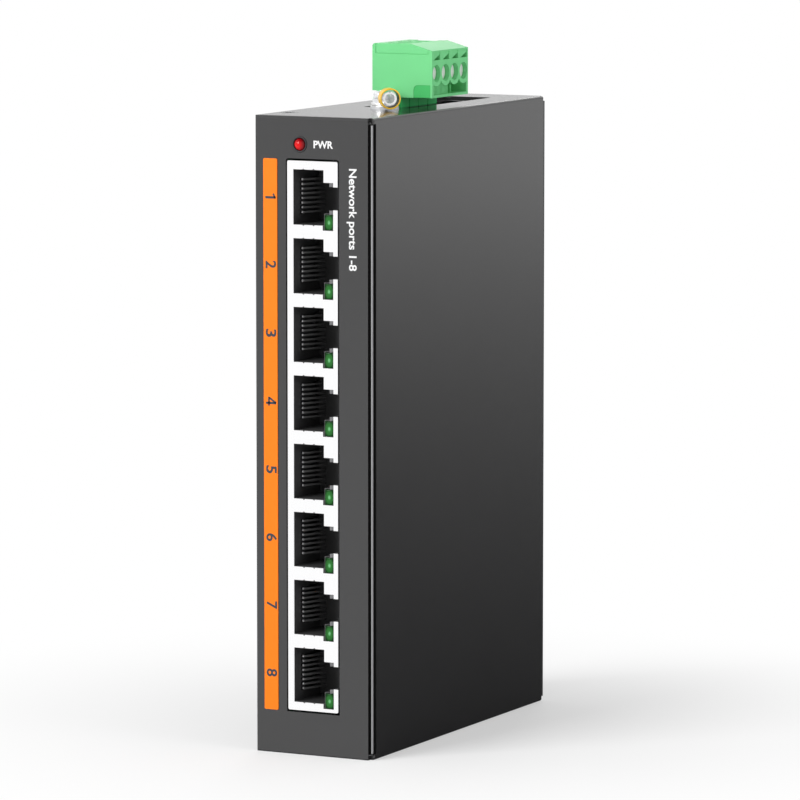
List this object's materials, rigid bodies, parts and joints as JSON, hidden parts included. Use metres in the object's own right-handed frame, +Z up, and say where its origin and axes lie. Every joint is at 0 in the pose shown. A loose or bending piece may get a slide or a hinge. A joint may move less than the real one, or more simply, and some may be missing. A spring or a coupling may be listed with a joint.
{
  "type": "din rail ethernet switch",
  "caption": "Slim sheet-metal network switch with a column of modular sockets, a plug-in terminal block and a sprung rail clip.",
  "frame": {"origin": "middle of the base of the part's bounding box", "axes": "+Z up, -Y out of the front panel with the sockets, +Y towards the mounting rail, +X to the right seen from the front"},
  "size_m": [0.0286, 0.0962, 0.1544],
  "materials": {
    "coated_steel": "fine semi-gloss powder coat",
    "black_screw": "black oxide",
    "nickel_shield": "bright nickel plate",
    "black_moulding": "moulded black plastic",
    "orange_label": "printed polyester film",
    "red_lens": "tinted epoxy lens",
    "green_lens": "tinted light pipe",
    "board_green": "solder mask on glass laminate",
    "chip_black": "moulded epoxy",
    "bare_aluminium": "satin extruded",
    "bare_can": "drawn can",
    "header_green": "moulded plastic",
    "terminal_green": "moulded plastic",
    "tinned_copper": "bright tin plate",
    "zinc_steel": "bright zinc plate",
    "gold_contact": "gold flash",
    "yellow_sleeve": "soft vinyl sleeve",
    "latch_black": "glass-filled nylon",
    "spring_steel": "drawn spring wire"
  },
  "bodies": {
    "case": {"housing_shell": "coated_steel", "left_cover": "coated_steel", "cover_screws": "black_screw", "port_shield": "nickel_shield", "jack_housing": "black_moulding", "number_strip": "orange_label", "power_light": "red_lens", "power_light_holder": "black_moulding", "circuit_board": "board_green", "board_standoffs": "zinc_steel", "board_screws": "zinc_steel", "switch_chip": "chip_black", "heat_sink": "bare_aluminium", "memory_chip": "chip_black", "clock_crystal": "bare_can", "power_inductor": "chip_black", "capacitor_1": "bare_can", "capacitor_2": "bare_can", "terminal_header": "header_green", "header_pins": "tinned_copper", "terminal_plug": "terminal_green", "clamp_cages": "zinc_steel", "clamp_screws": "zinc_steel", "earth_flat_washer": "zinc_steel", "earth_spring_washer": "zinc_steel", "earth_screw": "zinc_steel", "earth_nut": "zinc_steel", "earth_lug": "tinned_copper", "lug_sleeve": "yellow_sleeve", "rail_bracket": "bare_aluminium", "bracket_screws": "zinc_steel", "bracket_nuts": "zinc_steel", "latch_spring": "spring_steel", "contacts_1": "gold_contact", "port_light_1": "green_lens", "contacts_2": "gold_contact", "port_light_2": "green_lens", "contacts_3": "gold_contact", "port_light_3": "green_lens", "contacts_4": "gold_contact", "port_light_4": "green_lens", "contacts_5": "gold_contact", "port_light_5": "green_lens", "contacts_6": "gold_contact", "port_light_6": "green_lens", "contacts_7": "gold_contact", "port_light_7": "green_lens", "contacts_8": "gold_contact", "port_light_8": "green_lens", "transformer_1": "chip_black", "transformer_2": "chip_black", "transformer_3": "chip_black", "transformer_4": "chip_black"},
    "latch": {"rail_latch": "latch_black"}
  },
  "joints": [
    {"name": "latch_slide", "type": "slide", "parent": "case", "child": "latch", "axis": [0, 0, -1], "range_m": [0, 0.004], "stiffness_N_per_m": 400, "springref_m": -0.002, "deforming": ["latch_spring"]}
  ]
}
